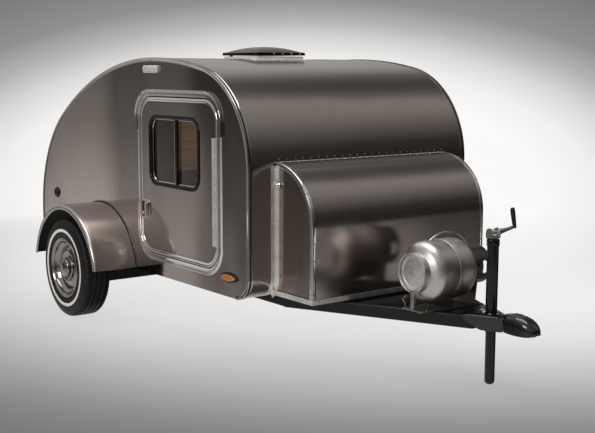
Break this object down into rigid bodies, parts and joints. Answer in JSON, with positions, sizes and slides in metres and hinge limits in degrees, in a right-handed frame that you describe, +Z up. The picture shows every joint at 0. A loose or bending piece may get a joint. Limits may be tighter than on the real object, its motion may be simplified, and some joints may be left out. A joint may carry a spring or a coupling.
{
  "type": "teardrop trailer",
  "caption": "Small teardrop camping trailer with an aluminium cabin, side doors, rear galley hatch, front storage box with a curved lid, tongue jack and gas bottle.",
  "frame": {"origin": "on the ground, midway between the rear of the trailer and the coupler's nose, on the centre plane", "axes": "+X forwards to the coupler, +Y to the trailer's left side, +Z up"},
  "size_m": [3.7992, 2.112, 1.656],
  "materials": {
    "skin": "dull polished sheet",
    "polished": "mirror polished",
    "bright_trim": "bright extruded",
    "bottle_metal": "satin spun",
    "chrome": "polished",
    "zinc_steel": "zinc plated",
    "black_steel": "gloss black paint",
    "brass": "machined",
    "glass": "tinted",
    "clear_lens": "clear ribbed lens",
    "amber_lens": "amber lens",
    "red_lens": "red lens",
    "black_frame": "black",
    "black_plastic": "moulded",
    "white_plastic": "moulded",
    "tyre": "black rubber with a narrow white stripe",
    "wood": "varnished birch plywood",
    "cushion": "woven cover"
  },
  "bodies": {
    "trailer": {"side_wall_right": "skin", "side_wall_left": "skin", "roof_shell": "skin", "tail_sill": "skin", "edge_trims": "bright_trim", "floor_panel": "wood", "bulkhead": "wood", "galley_cabinet": "wood", "mattress": "cushion", "door_frames": "bright_trim", "box_shell": "polished", "hinge_strips": "bright_trim", "vent_base": "white_plastic", "porch_lamps": "clear_lens", "marker_lamps": "amber_lens", "tail_lamps": "red_lens", "cable_outlet": "black_plastic", "fenders": "polished", "chassis": "black_steel", "axle_beam": "black_steel", "coupler": "black_steel", "jack_tube": "black_steel", "jack_crank": "zinc_steel", "gas_bottle": "bottle_metal", "bottle_collar": "bottle_metal", "bottle_valve": "brass", "bottle_bow": "zinc_steel", "bottle_cradle": "zinc_steel"},
    "wheel_right": {"tyre_right": "tyre", "wheel_right": "chrome"},
    "wheel_left": {"tyre_left": "tyre", "wheel_left": "chrome"},
    "door_right": {"door_right": "skin", "window_frame_right": "black_frame", "door_glass_right": "glass", "door_latch_right": "chrome"},
    "door_left": {"door_left": "skin", "window_frame_left": "black_frame", "door_glass_left": "glass", "door_latch_left": "chrome"},
    "box_lid": {"box_lid": "polished"},
    "hatch": {"hatch": "skin", "hatch_handle": "chrome"},
    "vent_lid": {"vent_lid": "black_plastic"},
    "jack_leg": {"jack_leg": "black_steel"}
  },
  "joints": [
    {"name": "wheel_right_spin", "type": "hinge", "parent": "trailer", "child": "wheel_right", "pos_m": [-0.962, -0.957, 0.305], "axis": [0, 1, 0], "continuous": true},
    {"name": "wheel_left_spin", "type": "hinge", "parent": "trailer", "child": "wheel_left", "pos_m": [-0.962, 0.957, 0.305], "axis": [0, 1, 0], "continuous": true},
    {"name": "door_right_swing", "type": "hinge", "parent": "trailer", "child": "door_right", "pos_m": [0.384, -0.779, 0.9], "axis": [0, 0, 1], "range_deg": [0, 110]},
    {"name": "door_left_swing", "type": "hinge", "parent": "trailer", "child": "door_left", "pos_m": [0.384, 0.779, 0.9], "axis": [0, 0, -1], "range_deg": [0, 110]},
    {"name": "box_lid_lift", "type": "hinge", "parent": "trailer", "child": "box_lid", "pos_m": [0.6615, 0, 1.048], "axis": [0, -1, 0], "range_deg": [0, 80]},
    {"name": "hatch_lift", "type": "hinge", "parent": "trailer", "child": "hatch", "pos_m": [-0.9532, 0, 1.4924], "axis": [0, 1, 0], "range_deg": [0, 85]},
    {"name": "vent_lid_lift", "type": "hinge", "parent": "trailer", "child": "vent_lid", "pos_m": [-0.4873, 0, 1.613], "axis": [0, -1, 0], "range_deg": [0, 70]},
    {"name": "jack_leg_slide", "type": "slide", "parent": "trailer", "child": "jack_leg", "axis": [0, 0, 1], "range_m": [0, 0.25]}
  ]
}
